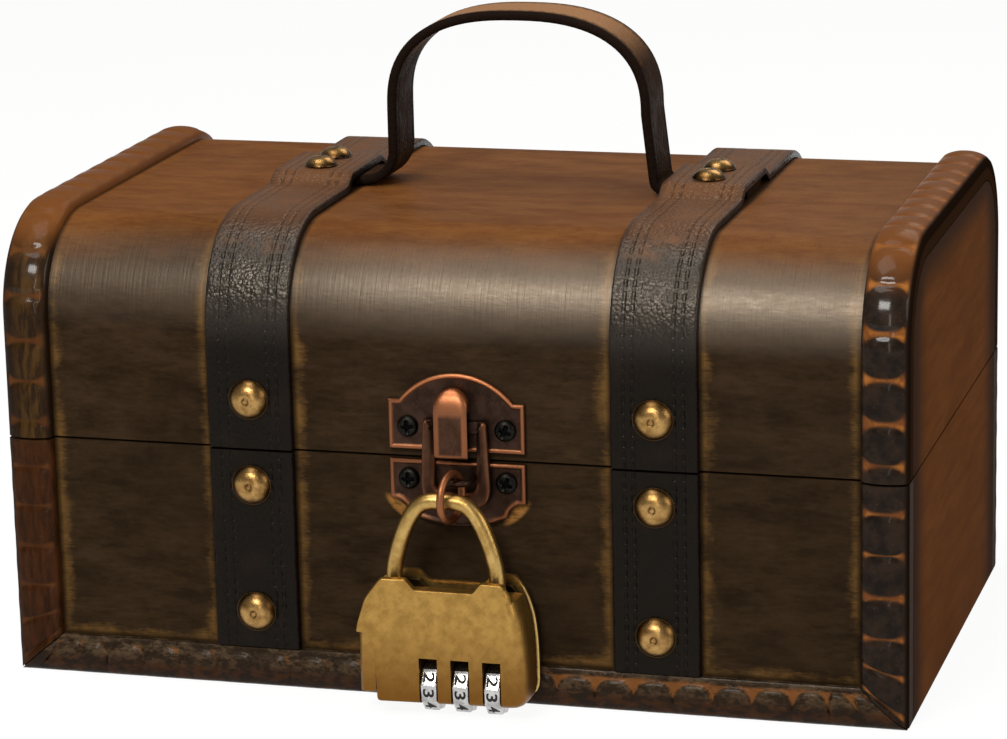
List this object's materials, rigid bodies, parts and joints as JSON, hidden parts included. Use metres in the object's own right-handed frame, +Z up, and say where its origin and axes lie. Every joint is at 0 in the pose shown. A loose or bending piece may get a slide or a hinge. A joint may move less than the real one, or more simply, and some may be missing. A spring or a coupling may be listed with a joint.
{
  "type": "jewelry box",
  "caption": "Small wooden chest with a bowed hinged lid, beaded edges, leather straps and handle, and a hasp closed by a number padlock.",
  "frame": {"origin": "middle of the chest's underside, on the plane it stands on", "axes": "+X along the chest's length, to the right seen from the front; the front faces -Y; +Z up"},
  "size_m": [0.225, 0.1555, 0.1593],
  "materials": {
    "stained_board": "dark brown stain, satin, rubbed through at its edges",
    "bowed_board": "grey-brown stain, brushed satin",
    "bead_wood": "carved, near-black tops over orange-brown grooves, gloss",
    "strap_leather": "black-brown, glossy, embossed double edge line",
    "handle_leather": "dark brown, soft gloss",
    "nail_brass": "antique, brushed",
    "latch_copper": "antique copper plating, bright at its rims",
    "screw_steel": "blackened",
    "padlock_brass": "antique, scratched",
    "shackle_brass": "polished",
    "dial_chrome": "bright plating, engraved plain digits"
  },
  "bodies": {
    "base": {"base_front_board": "stained_board", "base_back_board": "stained_board", "base_left_end": "stained_board", "base_right_end": "stained_board", "base_bottom_board": "stained_board", "base_front_foot_bead_strip": "bead_wood", "base_back_foot_bead_strip": "bead_wood", "staple_plate": "latch_copper", "staple_plate_left_screw": "screw_steel", "staple_plate_right_screw": "screw_steel", "ring_eye": "latch_copper", "base_front_left_bead_strip": "bead_wood", "base_back_left_bead_strip": "bead_wood", "base_front_left_strap": "strap_leather", "base_back_left_strap": "strap_leather", "base_front_upper_left_nail": "nail_brass", "base_front_lower_left_nail": "nail_brass", "base_back_left_nail": "nail_brass", "left_hinge_base_leaf": "latch_copper", "left_hinge_pin": "screw_steel", "base_front_right_bead_strip": "bead_wood", "base_back_right_bead_strip": "bead_wood", "base_front_right_strap": "strap_leather", "base_back_right_strap": "strap_leather", "base_front_upper_right_nail": "nail_brass", "base_front_lower_right_nail": "nail_brass", "base_back_right_nail": "nail_brass", "right_hinge_base_leaf": "latch_copper", "right_hinge_pin": "screw_steel"},
    "lid": {"lid_bowed_board": "bowed_board", "carry_handle": "handle_leather", "hasp_plate": "latch_copper", "hasp_plate_left_screw": "screw_steel", "hasp_plate_right_screw": "screw_steel", "lid_left_end": "stained_board", "lid_left_bead_strip": "bead_wood", "lid_left_strap": "strap_leather", "lid_front_left_nail": "nail_brass", "lid_back_left_nail": "nail_brass", "lid_top_front_left_nail": "nail_brass", "lid_top_rear_left_nail": "nail_brass", "left_hinge_lid_leaf": "latch_copper", "lid_right_end": "stained_board", "lid_right_bead_strip": "bead_wood", "lid_right_strap": "strap_leather", "lid_front_right_nail": "nail_brass", "lid_back_right_nail": "nail_brass", "lid_top_front_right_nail": "nail_brass", "lid_top_rear_right_nail": "nail_brass", "right_hinge_lid_leaf": "latch_copper"},
    "hasp": {"hasp_arm": "latch_copper"},
    "ring": {"lock_ring": "latch_copper"},
    "lock_case": {"padlock_case": "padlock_brass", "padlock_back_cover": "padlock_brass", "padlock_spindle": "screw_steel"},
    "shackle": {"padlock_shackle": "shackle_brass"},
    "release": {"padlock_release": "padlock_brass"},
    "wheel_1": {"padlock_dial_1": "dial_chrome"},
    "wheel_2": {"padlock_dial_2": "dial_chrome"},
    "wheel_3": {"padlock_dial_3": "dial_chrome"}
  },
  "joints": [
    {"name": "lid_hinge", "type": "hinge", "parent": "base", "child": "lid", "pos_m": [0, 0.06965, 0.0603], "axis": [-1, 0, 0], "range_deg": [0, 105]},
    {"name": "hasp_swing", "type": "hinge", "parent": "lid", "child": "hasp", "pos_m": [0.003, -0.0685, 0.0686], "axis": [-1, 0, 0], "range_deg": [0, 0.8]},
    {"name": "ring_swing", "type": "hinge", "parent": "base", "child": "ring", "pos_m": [0.0045, -0.0737, 0.0562], "axis": [-1, 0, 0], "range_deg": [0, 30]},
    {"name": "padlock_swing", "type": "hinge", "parent": "ring", "child": "lock_case", "pos_m": [0.0024, -0.0769, 0.0527], "axis": [-1, 0, 0], "range_deg": [0, 45]},
    {"name": "shackle_lift", "type": "slide", "parent": "lock_case", "child": "shackle", "axis": [0, 0, 1], "range_m": [0, 0.001]},
    {"name": "release_slide", "type": "slide", "parent": "lock_case", "child": "release", "axis": [0, 0, -1], "range_m": [0, 0.0018], "stiffness_N_per_m": 150, "springref_m": -0.0004},
    {"name": "wheel_1_turn", "type": "hinge", "parent": "lock_case", "child": "wheel_1", "pos_m": [-0.0009, -0.0769, 0.007], "axis": [1, 0, 0], "continuous": true},
    {"name": "wheel_2_turn", "type": "hinge", "parent": "lock_case", "child": "wheel_2", "pos_m": [0.007, -0.0769, 0.007], "axis": [1, 0, 0], "continuous": true},
    {"name": "wheel_3_turn", "type": "hinge", "parent": "lock_case", "child": "wheel_3", "pos_m": [0.0149, -0.0769, 0.007], "axis": [1, 0, 0], "continuous": true}
  ]
}
